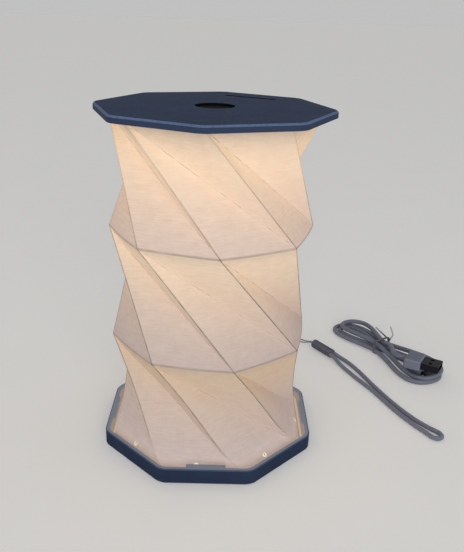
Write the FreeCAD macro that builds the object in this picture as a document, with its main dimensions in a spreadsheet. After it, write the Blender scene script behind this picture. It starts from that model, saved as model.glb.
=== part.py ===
import FreeCAD, Part
import math
import os

from FreeCAD import Vector

# Folding lamp: an octagonal base tray and lid joined by a pleated paper shade.
# Millimetres, +Z up, origin under the middle of the foot pad, front of the lamp towards -Y.

UP = Vector(0, 0, 1)
doc = FreeCAD.newDocument("folding_lamp")

# Driving dimensions. Heights are measured from the table unless the name says otherwise.
SIZES = {
    "shade_radius": 53.2,
    "shade_wall": 0.5,
    "storey_height": 57.9,
    "storeys": 3,
    "hem_margin": 7.05,
    "corner_radius": 9.0,
    "foot_inset": 17.0,
    "foot_height": 0.5,
    "cover_thickness": 1.0,
    "cover_clearance": 0.15,
    "deck_height": 4.1,
    "deck_thickness": 0.9,
    "base_height": 8.6,
    "rim_wall": 2.2,
    "rim_bevel": 0.5,
    "lip_length": 20.0,
    "lip_thickness": 1.3,
    "lip_rise": 0.9,
    "lip_clearance": 0.5,
    "lip_side_clearance": 2.0,
    "reflector_thickness": 0.3,
    "reflector_clearance": 0.2,
    "pod_wall": 1.0,
    "pod_rise": 2.3,
    "pod_plate": 0.8,
    "battery_side": 24.0,
    "battery_thickness": 4.0,
    "battery_clearance": 0.43,
    "battery_rounding": 1.0,
    "board_thickness": 0.8,
    "led_board_margin": 1.9,
    "led_count": 8,
    "led_ring_inset": 5.0,
    "led_length": 3.5,
    "led_width": 2.8,
    "led_height": 0.7,
    "cap_setback": 1.0,
    "cap_wall": 1.0,
    "cap_top": 0.6,
    "cap_height": 2.3,
    "screw_inset": 11.0,
    "boss_radius": 3.0,
    "screw_radius": 1.0,
    "screw_head_radius": 2.0,
    "screw_head_height": 0.6,
    "screw_clearance": 0.1,
    "magnet_inset": 11.0,
    "magnet_radius": 3.0,
    "base_magnet_height": 1.4,
    "lid_magnet_height": 1.0,
    "magnet_clearance": 0.1,
    "bay_width": 34.0,
    "bay_depth": 3.0,
    "bay_rise": 1.9,
    "bay_wall": 0.8,
    "control_board_width": 26.0,
    "control_board_depth": 15.5,
    "socket_offset": 9.0,
    "socket_width": 7.5,
    "socket_height": 2.45,
    "socket_depth": 4.1,
    "socket_wall": 0.3,
    "socket_rounding": 0.6,
    "socket_setback": 0.2,
    "socket_clearance": 0.15,
    "tongue_thickness": 0.6,
    "button_offset": 8.0,
    "button_height": 3.35,
    "button_length": 8.0,
    "button_width": 2.8,
    "button_rounding": 1.3,
    "button_proud": 0.4,
    "button_flange": 0.8,
    "button_flange_margin": 0.25,
    "button_flange_overlap": 1.0,
    "button_clearance": 0.15,
    "button_travel": 0.5,
    "button_gap": 0.05,
    "stem_length": 2.0,
    "stem_side": 0.8,
    "switch_width": 4.5,
    "switch_depth": 2.2,
    "switch_height": 1.3,
    "switch_plunger": 0.4,
    "switch_room": 0.5,
    "lead_width": 4.0,
    "lead_thickness": 0.2,
    "lead_overlap": 3.0,
    "lid_thickness": 3.4,
    "lid_plate": 1.2,
    "lid_bevel": 0.9,
    "skirt_wall": 2.0,
    "liner_recess": 0.6,
    "hang_hole_radius": 10.0,
    "hang_disc_radius": 12.0,
    "hang_disc_thickness": 0.7,
    "hang_disc_clearance": 0.05,
    "slot_inset": 15.7,
    "slot_length": 29.5,
    "slot_width": 3.0,
    "slot_rounding": 1.2,
    "slot_pocket": 0.8,
    "cable_diameter": 3.2,
    "hank_x": 120.0,
    "hank_y": 93.0,
    "hank_angle": -56.2,
    "lobe_radius": 14.0,
    "left_lobe_reach": 31.0,
    "right_lobe_reach": 38.0,
    "lobe_pitch": 3.75,
    "waist_pitch": 3.9,
    "layer_step": 3.75,
    "lead_lift": 1.5,
    "lead_crossing_reach": 14.0,
    "lead_crossing_side": -4.2,
    "lead_crossing_lift": 4.5,
    "lead_crossing_angle": -48.0,
    "plug_reach": 30.5,
    "plug_side": -8.4,
    "plug_rest_gap": 0.7,
    "plug_angle": 25.5,
    "plug_length": 11.0,
    "plug_width": 15.5,
    "plug_height": 7.0,
    "plug_rounding": 1.5,
    "plug_shell_length": 11.5,
    "plug_shell_width": 12.0,
    "plug_shell_height": 4.5,
    "plug_shell_wall": 0.35,
    "plug_shell_rounding": 0.5,
    "plug_tongue_height": 1.9,
    "plug_window_side": 2.2,
    "plug_window_spread": 5.2,
    "plug_window_reach": 5.5,
    "small_plug_reach": 26.0,
    "small_plug_length": 14.0,
    "small_plug_width": 10.4,
    "small_plug_height": 6.2,
    "small_shell_length": 6.0,
    "small_shell_width": 6.85,
    "small_shell_height": 1.8,
    "tie_width": 1.6,
    "tie_thickness": 0.5,
    "tie_wire_diameter": 1.0,
    "tie_clearance": 0.35,
    "tie_rounding": 2.0,
    "strap_diameter": 2.8,
    "strap_gap": 0.5,
    "sleeve_x": 83.5,
    "sleeve_y": 81.7,
    "sleeve_angle": -55.4,
    "sleeve_radius": 3.1,
    "sleeve_length": 19.0,
    "sleeve_lead": 6.5,
    "thread_diameter": 0.9,
    "thread_gap": 0.8,
    "thread_lead": 3.0,
    "table_gap": 0.1,
}

sheet = doc.addObject("Spreadsheet::Sheet", "sizes")
for row, (alias, value) in enumerate(SIZES.items(), 1):
    sheet.set(f"A{row}", alias)
    sheet.set(f"B{row}", str(value))
    sheet.setAlias(f"B{row}", alias)
doc.recompute()


def size(alias):
    return float(sheet.get(alias))


SIDES = 8
HALF_SIDE_TURN = 180 / SIDES

# Shared heights and distances, as expressions over the sheet.
HALF = f"(sizes.shade_radius * cos({HALF_SIDE_TURN} deg) + sizes.hem_margin)"
RIM_INSIDE = f"({HALF} - sizes.rim_wall)"
COVER_TOP = "(sizes.foot_height + sizes.cover_thickness)"
DECK_UNDER = "(sizes.deck_height - sizes.deck_thickness)"
POD_RADIUS = "(sizes.battery_side * sqrt(2) / 2 + sizes.battery_clearance + sizes.pod_wall)"
POD_TOP = "(sizes.deck_height + sizes.pod_rise)"
CAP_RADIUS = f"({POD_RADIUS} - sizes.cap_setback)"
LED_BOARD_RADIUS = f"({CAP_RADIUS} - sizes.cap_wall - sizes.led_board_margin)"
SCREW_RING = f"({HALF} - sizes.screw_inset)"
MAGNET_RING = f"({HALF} - sizes.magnet_inset)"
SLOT_APOTHEM = f"({HALF} - sizes.slot_inset)"
BOARD_TOP = f"({COVER_TOP} + sizes.board_thickness)"
HEM = "(sizes.deck_height + sizes.reflector_thickness)"
LID_LOW = f"({HEM} + sizes.storeys * sizes.storey_height - sizes.liner_recess)"
LINER_TOP = "(sizes.lid_thickness - sizes.lid_plate)"
LID_TURN = "(sizes.storeys * asin(sizes.storey_height^2 / (2 * sizes.shade_radius^2)))"
BAY_FRONT = f"({RIM_INSIDE} - sizes.bay_depth)"
LIP_FRONT = f"({RIM_INSIDE} - sizes.lip_thickness)"
SIDE_TURNS = (0, 90, 180, 270)
SCREW_TURNS = (45, 135, 225, 315)
MAGNET_TURNS = (10, 170, 190, 350)
SLOT_TURN = 45
# Length that a cutter runs past the face it opens, and the cut through a side wall in wall thicknesses.
OVERCUT = 1
WALL_CUT = "4 * sizes.rim_wall"


def prism(name, apothem, low, high):
    """Octagonal block between two heights, flats square to X and Y."""
    block = doc.addObject("Part::Prism", name)
    block.Polygon = SIDES
    block.Placement = FreeCAD.Placement(Vector(), FreeCAD.Rotation(UP, HALF_SIDE_TURN))
    block.setExpression("Circumradius", f"({apothem}) / cos({HALF_SIDE_TURN} deg)")
    block.setExpression("Height", f"({high}) - ({low})")
    block.setExpression("Placement.Base.z", low)
    return block


def box(name, middle_x, middle_y, low, length, width, high, turn=0):
    """Block between two heights, centred on a point and swung about the Z axis through the origin."""
    block = doc.addObject("Part::Box", name)
    near_x = f"(({middle_x}) - ({length}) / 2)"
    near_y = f"(({middle_y}) - ({width}) / 2)"
    block.Placement = FreeCAD.Placement(Vector(), FreeCAD.Rotation(UP, turn))
    block.setExpression("Length", length)
    block.setExpression("Width", width)
    block.setExpression("Height", f"({high}) - ({low})")
    block.setExpression("Placement.Base.x", f"{near_x} * cos({turn} deg) - {near_y} * sin({turn} deg)")
    block.setExpression("Placement.Base.y", f"{near_x} * sin({turn} deg) + {near_y} * cos({turn} deg)")
    block.setExpression("Placement.Base.z", low)
    return block


def cylinder(name, radius, low, high, reach="0", turn=0):
    """Upright cylinder between two heights, at a reach from the Z axis."""
    post = doc.addObject("Part::Cylinder", name)
    post.setExpression("Radius", radius)
    post.setExpression("Height", f"({high}) - ({low})")
    post.setExpression("Placement.Base.x", f"({reach}) * cos({turn} deg)")
    post.setExpression("Placement.Base.y", f"({reach}) * sin({turn} deg)")
    post.setExpression("Placement.Base.z", low)
    return post


def along(edge, direction):
    return abs(edge.tangentAt(edge.FirstParameter).dot(direction)) > 0.999


def dressed(kind, block, suffix, numbers, amount):
    doc.recompute()
    feature = doc.addObject(kind, f"{block.Name}_{suffix}")
    feature.Base = block
    feature.Edges = [(number, amount, amount) for number in numbers]
    return feature


def rounded(block, radius, direction=UP):
    """Round the edges that run along a direction."""
    doc.recompute()
    numbers = [i for i, edge in enumerate(block.Shape.Edges, 1) if along(edge, direction)]
    return dressed("Part::Fillet", block, "rounded", numbers, radius)


def softened(block, radius):
    """Round every edge."""
    doc.recompute()
    return dressed("Part::Fillet", block, "softened", range(1, len(block.Shape.Edges) + 1), radius)


def bevelled(block, width):
    """Bevel the outline of the top face."""
    doc.recompute()
    top = block.Shape.BoundBox.ZMax
    edges = enumerate(block.Shape.Edges, 1)
    numbers = [i for i, edge in edges if edge.BoundBox.ZMin > top - 1e-6]
    return dressed("Part::Chamfer", block, "bevelled", numbers, width)


def joined(name, pieces):
    fuse = doc.addObject("Part::MultiFuse", name)
    fuse.Shapes = pieces
    return fuse


def cut(name, base, cutters):
    result = doc.addObject("Part::Cut", name)
    result.Base = base
    result.Tool = cutters[0] if len(cutters) == 1 else joined(f"{name}_cutters", cutters)
    return result


def group(name, pieces):
    """Like pieces that share one node and stay separate solids."""
    compound = doc.addObject("Part::Compound", name)
    compound.Links = pieces
    return compound


nodes = []


def node(piece, label):
    piece.Label = label
    nodes.append(piece)
    return piece


# Base tray: rim, deck, central pod, lips, screw bosses and the bay for the socket and the button.
def make_base_tray():
    outer_radius = size("corner_radius")
    inner_radius = outer_radius - size("rim_wall")
    outer = bevelled(rounded(prism("tray_outer", HALF, "sizes.foot_height", "sizes.base_height"),
                             outer_radius), size("rim_bevel"))
    well = rounded(prism("tray_well", RIM_INSIDE, "sizes.deck_height", f"sizes.base_height + {OVERCUT}"),
                   inner_radius)
    cavity = rounded(prism("tray_cavity", RIM_INSIDE, "0", DECK_UNDER), inner_radius)
    walls = cut("tray_walls", outer, [well, cavity])
    pod = cylinder("tray_pod", POD_RADIUS, DECK_UNDER, POD_TOP)
    lip_middle = f"(({LIP_FRONT} + {RIM_INSIDE}) / 2)"
    lips = [box(f"tray_lip_{turn}", "0", lip_middle, "sizes.deck_height", "sizes.lip_length",
                "sizes.lip_thickness", "sizes.base_height + sizes.lip_rise", turn) for turn in SIDE_TURNS]
    bosses = [cylinder(f"tray_boss_{turn}", "sizes.boss_radius", COVER_TOP, DECK_UNDER,
                       SCREW_RING, turn) for turn in SCREW_TURNS]
    bay = box("tray_bay", "0", f"({BAY_FRONT} + {RIM_INSIDE}) / 2", DECK_UNDER, "sizes.bay_width",
              "sizes.bay_depth", "sizes.deck_height + sizes.bay_rise")
    solid = joined("tray_solid", [walls, pod, bay] + lips + bosses)

    pod_room = cylinder("tray_pod_room", f"{POD_RADIUS} - sizes.pod_wall", "0",
                        f"{POD_TOP} - sizes.pod_plate")
    bay_room = box("tray_bay_room", "0", f"({BAY_FRONT} + sizes.bay_wall + {RIM_INSIDE}) / 2", COVER_TOP,
                   "sizes.bay_width - 2 * sizes.bay_wall", "sizes.bay_depth - sizes.bay_wall",
                   "sizes.deck_height + sizes.bay_rise - sizes.bay_wall")
    switch_room = box("tray_switch_room", "sizes.button_offset", f"{BAY_FRONT} - sizes.switch_depth / 2",
                      COVER_TOP, "sizes.switch_width + 2 * sizes.switch_room",
                      "sizes.switch_depth + 2 * sizes.bay_wall + sizes.switch_room",
                      f"{BOARD_TOP} + sizes.switch_height + sizes.lead_thickness / 2")
    window = box("tray_socket_window", "-sizes.socket_offset", HALF,
                 f"{BOARD_TOP} - sizes.socket_clearance",
                 "sizes.socket_width + 2 * sizes.socket_clearance", WALL_CUT,
                 f"{BOARD_TOP} + sizes.socket_height + sizes.socket_clearance")
    button_hole = rounded(box("tray_button_hole", "sizes.button_offset", HALF,
                              "sizes.button_height - sizes.button_width / 2 - sizes.button_clearance",
                              "sizes.button_length + 2 * sizes.button_clearance", WALL_CUT,
                              "sizes.button_height + sizes.button_width / 2 + sizes.button_clearance"),
                          size("button_rounding") + size("button_clearance"), Vector(0, 1, 0))
    screw_holes = [cylinder(f"tray_screw_hole_{turn}", "sizes.screw_radius + sizes.screw_clearance / 2", "0",
                            DECK_UNDER, SCREW_RING, turn) for turn in SCREW_TURNS]
    cutters = [pod_room, bay_room, switch_room, window, button_hole] + screw_holes
    node(cut("base_tray", solid, cutters), "base_tray")


def make_cover():
    plate = rounded(prism("cover_plate", f"{RIM_INSIDE} - sizes.cover_clearance", "sizes.foot_height",
                          COVER_TOP), size("corner_radius") - size("rim_wall"))
    seats = []
    screws = []
    head_top = "(sizes.foot_height + sizes.screw_head_height)"
    for turn in SCREW_TURNS:
        seats.append(cylinder(f"cover_seat_{turn}", "sizes.screw_head_radius + sizes.screw_clearance", "0",
                              head_top, SCREW_RING, turn))
        seats.append(cylinder(f"cover_hole_{turn}", "sizes.screw_radius + sizes.screw_clearance", "0",
                              f"{COVER_TOP} + {OVERCUT}", SCREW_RING, turn))
        head = cylinder(f"screw_head_{turn}", "sizes.screw_head_radius", "sizes.foot_height", head_top,
                        SCREW_RING, turn)
        shank = cylinder(f"screw_shank_{turn}", "sizes.screw_radius", "sizes.foot_height",
                         f"{DECK_UNDER} - sizes.screw_clearance", SCREW_RING, turn)
        screws.append(joined(f"screw_{turn}", [head, shank]))
    node(cut("bottom_cover", plate, seats), "bottom_cover")
    node(group("cover_screws", screws), "cover_screws")
    pad = prism("foot_pad_block", f"{HALF} - sizes.foot_inset", "0", "sizes.foot_height")
    node(rounded(pad, size("corner_radius")), "foot_pad")


def make_reflector():
    sheet_apothem = f"{LIP_FRONT} - sizes.reflector_clearance"
    radius = size("corner_radius") - size("rim_wall") - size("lip_thickness") - size("reflector_clearance")
    plate = rounded(prism("reflector_plate", sheet_apothem, "sizes.deck_height", HEM), radius)
    hole = cylinder("reflector_hole", f"{POD_RADIUS} + sizes.reflector_clearance", "0",
                    f"{HEM} + {OVERCUT}")
    notch = box("reflector_notch", "0", RIM_INSIDE, "0",
                "sizes.bay_width + 2 * sizes.reflector_clearance",
                "2 * (sizes.bay_depth + sizes.reflector_clearance)", f"{HEM} + {OVERCUT}")
    node(cut("reflector_sheet", plate, [hole, notch]), "reflector_sheet")


def make_light_engine():
    board_top = f"({POD_TOP} + sizes.board_thickness)"
    node(cylinder("led_board", LED_BOARD_RADIUS, POD_TOP, board_top), "led_board")
    count = int(size("led_count"))
    ring = f"({LED_BOARD_RADIUS} - sizes.led_ring_inset)"
    leds = [box(f"led_{i}", ring, "0", board_top, "sizes.led_length", "sizes.led_width",
                f"{board_top} + sizes.led_height", 360 / count * i) for i in range(count)]
    node(group("leds", leds), "leds")
    cap = cylinder("cap_outer", CAP_RADIUS, POD_TOP, f"{POD_TOP} + sizes.cap_height")
    room = cylinder("cap_room", f"{CAP_RADIUS} - sizes.cap_wall", "0",
                    f"{POD_TOP} + sizes.cap_height - sizes.cap_top")
    node(cut("diffuser_cap", bevelled(cap, size("cap_top") / 2), [room]), "diffuser_cap")


def make_electronics():
    side = "sizes.battery_side"
    battery = box("battery_block", "0", "0", COVER_TOP, side, side, f"{COVER_TOP} + sizes.battery_thickness")
    node(rounded(battery, size("battery_rounding")), "battery_cell")

    board_back = f"({RIM_INSIDE} - sizes.reflector_clearance)"
    board_front = f"({board_back} - sizes.control_board_depth)"
    board = box("board_plate", "0", f"({board_front} + {board_back}) / 2", COVER_TOP,
                "sizes.control_board_width", "sizes.control_board_depth", BOARD_TOP)
    notch = box("board_notch", "sizes.control_board_width / 2", board_back, "0",
                "sizes.control_board_width - sizes.button_length / 2",
                "2 * (sizes.bay_depth - sizes.bay_wall / 2)", f"{BOARD_TOP} + {OVERCUT}")
    node(cut("control_board", board, [notch]), "control_board")

    mouth = f"({HALF} - sizes.socket_setback)"
    middle = f"{mouth} - sizes.socket_depth / 2"
    shell = rounded(box("socket_shell", "-sizes.socket_offset", middle, BOARD_TOP, "sizes.socket_width",
                        "sizes.socket_depth", f"{BOARD_TOP} + sizes.socket_height"),
                    size("socket_rounding"), Vector(0, 1, 0))
    room = box("socket_room", "-sizes.socket_offset", f"{middle} + sizes.socket_wall",
               f"{BOARD_TOP} + sizes.socket_wall", "sizes.socket_width - 2 * sizes.socket_wall",
               "sizes.socket_depth", f"{BOARD_TOP} + sizes.socket_height - sizes.socket_wall")
    socket_middle = f"({BOARD_TOP} + sizes.socket_height / 2)"
    tongue = box("socket_tongue", "-sizes.socket_offset", f"{middle} - sizes.socket_wall",
                 f"{socket_middle} - sizes.tongue_thickness / 2", "sizes.socket_width / 2",
                 "sizes.socket_depth - 2 * sizes.socket_wall",
                 f"{socket_middle} + sizes.tongue_thickness / 2")
    node(joined("usb_socket", [cut("socket_hollow", shell, [room]), tongue]), "usb_socket")

    lead_end = f"({board_front} + sizes.lead_overlap)"
    lead_back = f"({board_front} - sizes.lead_thickness)"
    run = box("lead_run", "0", f"({side} / 2 + {board_front}) / 2", COVER_TOP, "sizes.lead_width",
              f"{board_front} - {side} / 2", f"{COVER_TOP} + sizes.lead_thickness")
    riser = box("lead_riser", "0", f"({lead_back} + {board_front}) / 2", COVER_TOP, "sizes.lead_width",
                "sizes.lead_thickness", f"{BOARD_TOP} + sizes.lead_thickness")
    tab = box("lead_tab", "0", f"({lead_back} + {lead_end}) / 2", BOARD_TOP, "sizes.lead_width",
              "sizes.lead_overlap + sizes.lead_thickness", f"{BOARD_TOP} + sizes.lead_thickness")
    node(joined("battery_lead", [run, riser, tab]), "battery_lead")

    magnets = [cylinder(f"base_magnet_{turn * 10:.0f}", "sizes.magnet_radius",
                        f"{DECK_UNDER} - sizes.base_magnet_height", DECK_UNDER,
                        MAGNET_RING, turn) for turn in MAGNET_TURNS]
    node(group("base_magnets", magnets), "base_magnets")


# Power button: rounded cap through the back wall, flange inside the wall, stem to the switch.
def make_button():
    flange_back = f"({RIM_INSIDE} - sizes.button_gap - sizes.button_flange)"
    cap_face = f"({HALF} + sizes.button_proud)"
    plunger_face = f"({BAY_FRONT} - sizes.switch_plunger)"
    stem_end = f"({plunger_face} + sizes.button_travel + sizes.button_gap)"
    x = "sizes.button_offset"
    cap = rounded(box("button_cap", x, f"({flange_back} + {cap_face}) / 2",
                      "sizes.button_height - sizes.button_width / 2", "sizes.button_length",
                      f"{cap_face} - {flange_back}", "sizes.button_height + sizes.button_width / 2"),
                  size("button_rounding"), Vector(0, 1, 0))
    flange_half = "(sizes.button_width / 2 + sizes.button_flange_margin)"
    flange = box("button_flange_plate", x, f"{flange_back} + sizes.button_flange / 2",
                 f"sizes.button_height - {flange_half}",
                 "sizes.button_length + 2 * sizes.button_flange_overlap", "sizes.button_flange",
                 f"sizes.button_height + {flange_half}")
    stem_low = f"({BOARD_TOP} + (sizes.switch_height - sizes.stem_side) / 2)"
    stem = box("button_stem", x, f"({stem_end} + {flange_back}) / 2", stem_low, "sizes.stem_length",
               f"{flange_back} - {stem_end}", f"{stem_low} + sizes.stem_side")
    node(joined("power_button", [cap, flange, stem]), "power_button")

    body_back = f"({plunger_face} - sizes.switch_plunger - sizes.switch_depth)"
    body = box("switch_body", x, f"{body_back} + sizes.switch_depth / 2", BOARD_TOP, "sizes.switch_width",
               "sizes.switch_depth", f"{BOARD_TOP} + sizes.switch_height")
    plunger = box("switch_plunger_bar", x, f"{plunger_face} - sizes.switch_plunger / 2", stem_low,
                  "sizes.stem_length", "sizes.switch_plunger", f"{stem_low} + sizes.stem_side")
    node(joined("tact_switch", [body, plunger]), "tact_switch")


# Pleated shade: each storey is a ring of triangles between two octagons. The upper octagon is turned
# against the lower one, and the turn is set by folds that let the storey fold flat at a quarter turn.
def shade_level(level, radius):
    quarter_left = math.asin(size("storey_height") ** 2 / (2 * size("shade_radius") ** 2))
    step = 2 * math.pi / SIDES
    slip = math.pi / 2 - quarter_left - step
    height = size("deck_height") + size("reflector_thickness") + level * size("storey_height")
    angles = [step / 2 - level * slip + step * j for j in range(SIDES)]
    return [Vector(radius * math.cos(a), radius * math.sin(a), height) for a in angles]


def triangle(a, b, c):
    return Part.Face(Part.makePolygon([a, b, c, a]))


def shade_skin(radius):
    faces = []
    for storey in range(int(size("storeys"))):
        low = shade_level(storey, radius)
        high = shade_level(storey + 1, radius)
        for j in range(SIDES):
            ahead = (j + 1) % SIDES
            further = (j + 2) % SIDES
            faces.append(triangle(high[j], low[ahead], low[further]))
            faces.append(triangle(high[j], low[further], high[ahead]))
    return faces


def make_shade():
    outer = size("shade_radius")
    inner = outer - size("shade_wall")
    faces = shade_skin(outer) + shade_skin(inner)
    for level in (0, int(size("storeys"))):
        wide = shade_level(level, outer)
        narrow = shade_level(level, inner)
        opening = Part.Face(Part.makePolygon(narrow + narrow[:1]))
        faces += Part.Face(Part.makePolygon(wide + wide[:1])).cut(opening).Faces
    shell = Part.makeShell(faces)
    shell.sewShape()
    solid = Part.makeSolid(shell)
    if solid.Volume < 0:
        solid.reverse()
    shade = doc.addObject("Part::Feature", "shade")
    shade.Shape = solid
    node(shade, "shade")


# Lid, modelled from its own underside as it sits when closed, then raised and turned to the open pose.
def raise_lid(piece):
    piece.Placement = FreeCAD.Placement(Vector(), FreeCAD.Rotation(UP, 1))
    piece.setExpression("Placement.Base.z", LID_LOW)
    piece.setExpression("Placement.Rotation.Angle", LID_TURN)


def make_lid():
    outer = bevelled(rounded(prism("lid_outer", HALF, "0", "sizes.lid_thickness"), size("corner_radius")),
                     size("lid_bevel"))
    skirt_inside = f"({HALF} - sizes.skirt_wall)"
    inner_radius = size("corner_radius") - size("skirt_wall")
    room = rounded(prism("lid_room", skirt_inside, f"-{OVERCUT}", LINER_TOP), inner_radius)
    hole = cylinder("lid_hole", "sizes.hang_hole_radius", "0", f"sizes.lid_thickness + {OVERCUT}")
    slot = rounded(box("lid_slot", "0", f"-{SLOT_APOTHEM}", "0", "sizes.slot_length", "sizes.slot_width",
                       f"sizes.lid_thickness + {OVERCUT}", SLOT_TURN), size("slot_rounding"))
    shell = node(cut("lid_shell", outer, [room, hole, slot]), "lid_shell")

    plate = rounded(prism("liner_plate", f"{skirt_inside} - sizes.cover_clearance", "sizes.liner_recess",
                          LINER_TOP), inner_radius)
    notch_front = f"({LIP_FRONT} - sizes.lip_clearance)"
    notches = [box(f"liner_notch_{turn}", "0", f"({notch_front} + {HALF}) / 2", "0",
                   "sizes.lip_length + 2 * sizes.lip_side_clearance", f"{HALF} - {notch_front}",
                   "sizes.lid_thickness", turn) for turn in SIDE_TURNS]
    disc_low = f"({LINER_TOP} - sizes.hang_disc_thickness - 2 * sizes.hang_disc_clearance)"
    disc_room = cylinder("liner_disc_room", "sizes.hang_disc_radius + sizes.hang_disc_clearance", disc_low,
                         "sizes.lid_thickness")
    magnet_low = f"({LINER_TOP} - sizes.lid_magnet_height - sizes.magnet_clearance)"
    magnet_rooms = [cylinder(f"liner_magnet_room_{turn * 10:.0f}",
                             "sizes.magnet_radius + sizes.magnet_clearance", magnet_low,
                             "sizes.lid_thickness", MAGNET_RING, turn)
                    for turn in MAGNET_TURNS]
    slot_pocket = rounded(box("liner_slot_pocket", "0", f"-{SLOT_APOTHEM}",
                              f"{LINER_TOP} - sizes.slot_pocket", "sizes.slot_length", "sizes.slot_width",
                              "sizes.lid_thickness", SLOT_TURN), size("slot_rounding"))
    liner = node(cut("lid_liner", plate, notches + [disc_room, slot_pocket] + magnet_rooms), "lid_liner")

    magnets = [cylinder(f"lid_magnet_{turn * 10:.0f}", "sizes.magnet_radius", magnet_low,
                        f"{magnet_low} + sizes.lid_magnet_height", MAGNET_RING, turn)
               for turn in MAGNET_TURNS]
    magnet_group = node(group("lid_magnets", magnets), "lid_magnets")
    disc_base = f"{disc_low} + sizes.hang_disc_clearance"
    disc = cylinder("hang_disc_block", "sizes.hang_disc_radius", disc_base,
                    f"{disc_base} + sizes.hang_disc_thickness")
    disc_node = node(group("hang_disc", [disc]), "hang_disc")
    for piece in (shell, liner, magnet_group, disc_node):
        raise_lid(piece)


# Cords: a round section carried along straight runs and tangent arcs. Each arc takes up to this share
# of the shorter run beside it.
ARC_SHARE = 0.45


def arc_edge(start, bend, end):
    """Arc that leaves start and reaches end along the lines to the bend point between them."""
    middle = (start + end) * 0.5
    half_chord = (end - start).Length / 2
    if half_chord > (bend - start).Length * (1 - 1e-9):
        return Part.LineSegment(start, end).toShape()
    quarter = math.acos(min(1.0, half_chord / (bend - start).Length)) / 2
    inward = (bend - middle).normalize()
    return Part.Arc(start, middle + inward * half_chord * math.tan(quarter), end).toShape()


def swept(path, diameter):
    start = path.OrderedEdges[0]
    heading = start.tangentAt(start.FirstParameter)
    section = Part.Wire(Part.makeCircle(diameter / 2, start.valueAt(start.FirstParameter), heading))
    return path.makePipeShell([section], True, False)


def tube(label, path, diameter):
    piece = doc.addObject("Part::Feature", label)
    piece.Shape = swept(path, diameter)
    share = piece.Shape.Volume / (math.pi * diameter ** 2 / 4 * path.Length)
    print(f"{label}: length {path.Length:.1f} mm, volume {share:.4f} of section x length")
    return node(piece, label)


def eased(points):
    """Path along a route of points, each corner an arc as large as its runs allow, and the arcs' radii."""
    edges = []
    radii = []
    last = points[0]
    for before, corner, after in zip(points, points[1:], points[2:]):
        back = before - corner
        onward = after - corner
        reach = ARC_SHARE * min(back.Length, onward.Length)
        turn = math.pi - back.getAngle(onward)
        radii.append(reach / math.tan(turn / 2))
        enter = corner + back.normalize() * reach
        leave = corner + onward.normalize() * reach
        edges.append(Part.LineSegment(last, enter).toShape())
        edges.append(arc_edge(enter, corner, leave))
        last = leave
    edges.append(Part.LineSegment(last, points[-1]).toShape())
    return Part.Wire(edges), radii


def cord(label, points, diameter):
    path, radii = eased(points)
    print(f"{label}: radii in diameters", [round(radius / diameter, 1) for radius in radii])
    tube(label, path, diameter)
    return path


def least_gap(path, diameter):
    """Least clear distance between stretches of a tube that are three diameters apart along it."""
    per_diameter = 4
    points = path.discretize(Distance=diameter / per_diameter)
    apart = 3 * per_diameter
    nearest = min((points[i] - points[j]).Length
                  for i in range(len(points)) for j in range(i + apart, len(points)))
    return nearest - diameter


# Hank: the cable winds outwards in a lower layer, climbs and winds back inwards in an upper layer.
# u runs along the hank from its waist, v across it.
def hank_turn():
    return FreeCAD.Rotation(UP, size("hank_angle"))


def hank_point(u, v, z):
    return hank_turn().multVec(Vector(u, v, 0)) + Vector(size("hank_x"), size("hank_y"), z)


def hank_heading(u, v):
    return hank_turn().multVec(Vector(u, v, 0))


QUARTERS = 10


def hank_quarter(q):
    """Point, heading, lobe radius and reach at each quarter turn: waists at even counts, lobes at odd."""
    half_wire = size("cable_diameter") / 2
    wind = (QUARTERS / 2 - min(q, QUARTERS - q)) / 4
    layer = size("layer_step") * min(1, max(0, (q - 4) / 2))
    if q % 2:
        side = -1 if q % 4 == 1 else 1
        reach = size("left_lobe_reach") if side < 0 else size("right_lobe_reach")
        radius = size("lobe_radius") - wind * size("lobe_pitch")
        fold = hank_point(side * (reach + radius), 0, half_wire + layer)
        return fold, hank_heading(0, -side), radius, reach
    side = -1 if q % 4 == 0 else 1
    waist = (1.5 - wind) * size("waist_pitch")
    low = half_wire + size("tie_thickness") + size("tie_clearance")
    lift = size("lead_lift") if q == QUARTERS else 0
    return hank_point(0, side * waist, low + layer + lift), hank_heading(side, 0), waist, 0


def biarc(start, heading, end, end_heading, reach):
    """Two arcs that join two points along two headings: reach is the first arc's tangent length."""
    span = end - start
    other = (span.dot(span) / 2 - reach * span.dot(heading)) / (
        span.dot(end_heading) - reach * (heading.dot(end_heading) - 1))
    first = start + heading * reach
    second = end - end_heading * other
    joint = (first * other + second * reach) * (1 / (reach + other))
    return [arc_edge(start, first, joint), arc_edge(joint, second, end)]


def lobe_reach(radius, waist, reach):
    """Tangent length of the lobe arc that runs on into the hollow curve towards the waist."""
    hollow = (reach ** 2 + waist ** 2 - radius ** 2) / (2 * (radius - waist))
    return radius * math.tan((math.pi / 2 + math.atan(reach / (waist + hollow))) / 2)


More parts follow.
